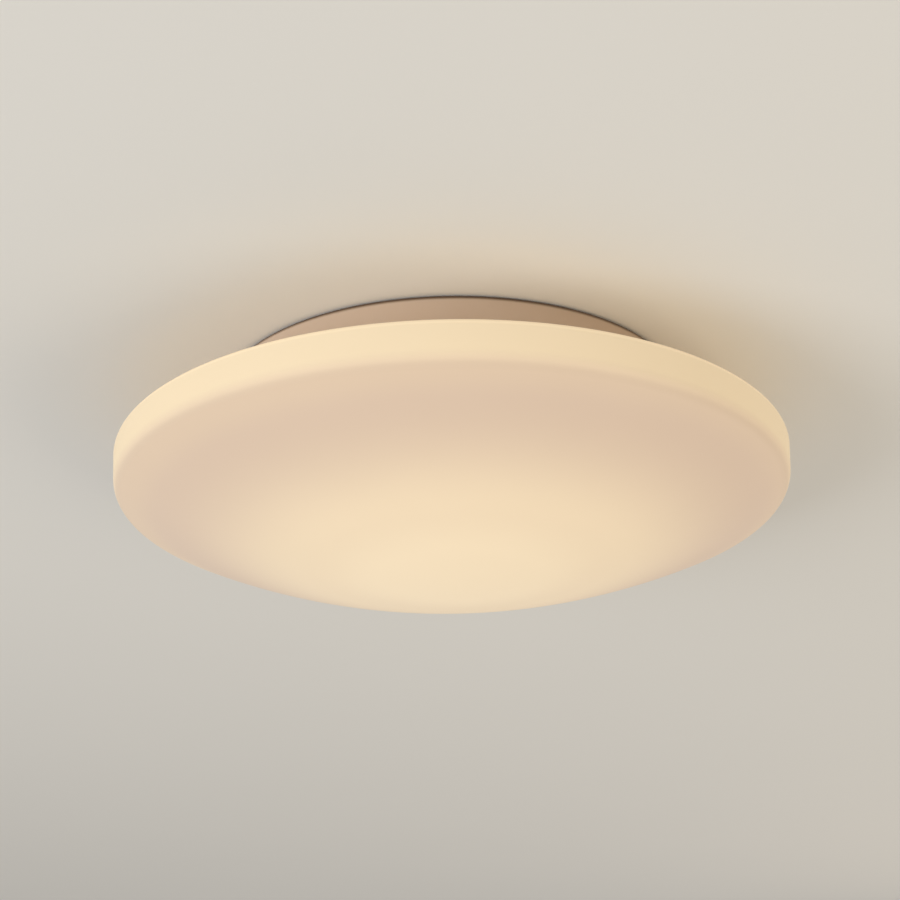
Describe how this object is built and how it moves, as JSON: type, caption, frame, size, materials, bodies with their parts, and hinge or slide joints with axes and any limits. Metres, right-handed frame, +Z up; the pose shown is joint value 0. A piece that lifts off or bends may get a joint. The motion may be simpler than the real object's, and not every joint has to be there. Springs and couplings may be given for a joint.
{
  "type": "led ceiling light",
  "caption": "Flush round LED ceiling light: a wide shallow opal glass shade under a short round metal canopy, with LED tray, driver and lever terminals inside.",
  "frame": {"origin": "centre of the canopy's ceiling face, on the axis of the light, in the plane of the ceiling", "axes": "+Z points up into the ceiling, the near side of the picture is -Y, and +X is to its right"},
  "size_m": [0.3796, 0.3796, 0.11],
  "materials": {
    "canopy_paint": "satin warm pale grey paint",
    "zinc_studs": "zinc plated",
    "zinc_pillars": "zinc plated",
    "grommet_rubber": "matte black rubber",
    "seal_rubber": "matte pale silicone",
    "opal_glass": "satin opal glass, lit from inside",
    "tray_paint": "gloss white paint",
    "zinc_nuts": "zinc plated",
    "spring_steel": "bright spring steel",
    "rivet_metal": "satin",
    "board_white": "white solder mask on aluminium",
    "led_phosphor": "yellow phosphor in white packages",
    "connector_plastic": "matte white",
    "screw_metal": "zinc plated",
    "tray_grommet_rubber": "matte black rubber",
    "driver_plastic": "matte white",
    "driver_cover_plastic": "matte white",
    "board_green": "green circuit board",
    "transformer_tape": "yellow tape",
    "capacitor_sleeve": "dark sleeve",
    "zinc_driver_nuts": "zinc plated",
    "terminal_plastic": "matte pale grey",
    "clamp_metal": "satin",
    "lever_plastic": "orange",
    "zinc_terminal_nuts": "zinc plated",
    "tag_metal": "tinned brass",
    "zinc_earth_nut": "zinc plated",
    "lead_clip_plastic": "matte white",
    "lead_brown": "brown insulation",
    "lead_blue": "blue insulation",
    "lead_green_yellow": "green and yellow insulation",
    "lead_red": "red insulation",
    "lead_black": "black insulation"
  },
  "bodies": {
    "root": {"canopy_pan": "canopy_paint", "canopy_studs": "zinc_studs", "tray_pillars": "zinc_pillars", "cable_grommet": "grommet_rubber", "seal_ring": "seal_rubber", "led_tray": "tray_paint", "tray_nuts": "zinc_nuts", "shade_clips": "spring_steel", "clip_rivets": "rivet_metal", "led_board": "board_white", "led_packages": "led_phosphor", "board_connector": "connector_plastic", "board_screws": "screw_metal", "tray_grommet": "tray_grommet_rubber", "driver_case": "driver_plastic", "driver_cover": "driver_cover_plastic", "driver_board": "board_green", "driver_transformer": "transformer_tape", "driver_capacitors": "capacitor_sleeve", "driver_nuts": "zinc_driver_nuts", "terminal_body": "terminal_plastic", "terminal_clamps": "clamp_metal", "terminal_nuts": "zinc_terminal_nuts", "earth_tag": "tag_metal", "earth_nut": "zinc_earth_nut", "lead_clip": "lead_clip_plastic", "live_lead": "lead_brown", "neutral_lead": "lead_blue", "earth_lead": "lead_green_yellow", "led_lead_red": "lead_red", "led_lead_black": "lead_black"},
    "shade": {"glass_shade": "opal_glass"},
    "live_lever": {"lever_live": "lever_plastic"},
    "neutral_lever": {"lever_neutral": "lever_plastic"},
    "earth_lever": {"lever_earth": "lever_plastic"}
  },
  "joints": [
    {"name": "shade_drop", "type": "slide", "parent": "root", "child": "shade", "axis": [0, 0, -1], "range_m": [0, 0.12], "deforming": ["shade_clips"]},
    {"name": "live_lever_turn", "type": "hinge", "parent": "root", "child": "live_lever", "pos_m": [-0.0085, -0.036, -0.0143], "axis": [1, 0, 0], "range_deg": [0, 85]},
    {"name": "neutral_lever_turn", "type": "hinge", "parent": "root", "child": "neutral_lever", "pos_m": [0, -0.036, -0.0143], "axis": [1, 0, 0], "range_deg": [0, 85]},
    {"name": "earth_lever_turn", "type": "hinge", "parent": "root", "child": "earth_lever", "pos_m": [0.0085, -0.036, -0.0143], "axis": [1, 0, 0], "range_deg": [0, 85]}
  ]
}
